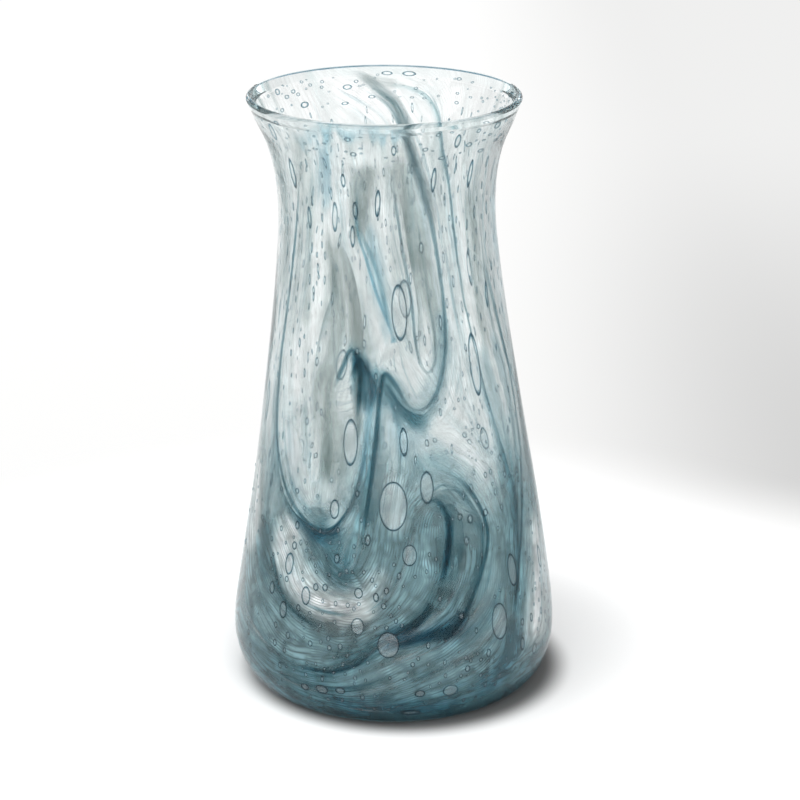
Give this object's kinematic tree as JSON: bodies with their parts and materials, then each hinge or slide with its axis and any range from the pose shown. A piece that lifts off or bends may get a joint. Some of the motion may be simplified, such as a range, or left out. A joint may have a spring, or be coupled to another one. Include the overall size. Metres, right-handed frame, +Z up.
{
  "type": "hand blown art glass vase",
  "caption": "Heavy hand blown vase: cased blue and clear glass with pulled dark trails, a wide rounded base, a drawn-in neck and a flared, fire polished lip.",
  "frame": {"origin": "centre of the ground resting ring, in the plane it stands on", "axes": "+Z up along the vase, from the foot to the lip; -Y faces the side with the large lower swirl; +X is to the right of someone looking at that side"},
  "size_m": [0.137, 0.137, 0.252],
  "materials": {
    "clear_glass": "fire polished clear soda-lime glass with trapped seeds",
    "powder_colour": "milky blue-grey powder colour, streaked and fused in",
    "trail_blue": "deep teal-blue glass, pulled and folded"
  },
  "bodies": {
    "root": {"colour_skin": "powder_colour", "inner_gather": "clear_glass", "outer_casing": "clear_glass", "trail_back_arc": "trail_blue", "trail_back_finger": "trail_blue", "trail_back_fold": "trail_blue", "trail_back_swirl": "trail_blue", "trail_centre_hook": "trail_blue", "trail_foot_sweep": "trail_blue", "trail_left_flank": "trail_blue", "trail_left_loop": "trail_blue", "trail_left_peak": "trail_blue", "trail_neck_thread": "trail_blue", "trail_right_flank": "trail_blue", "trail_right_side": "trail_blue", "trail_swirl_core": "trail_blue", "trail_swirl_inner": "trail_blue", "trail_swirl_outer": "trail_blue"}
  },
  "joints": []
}
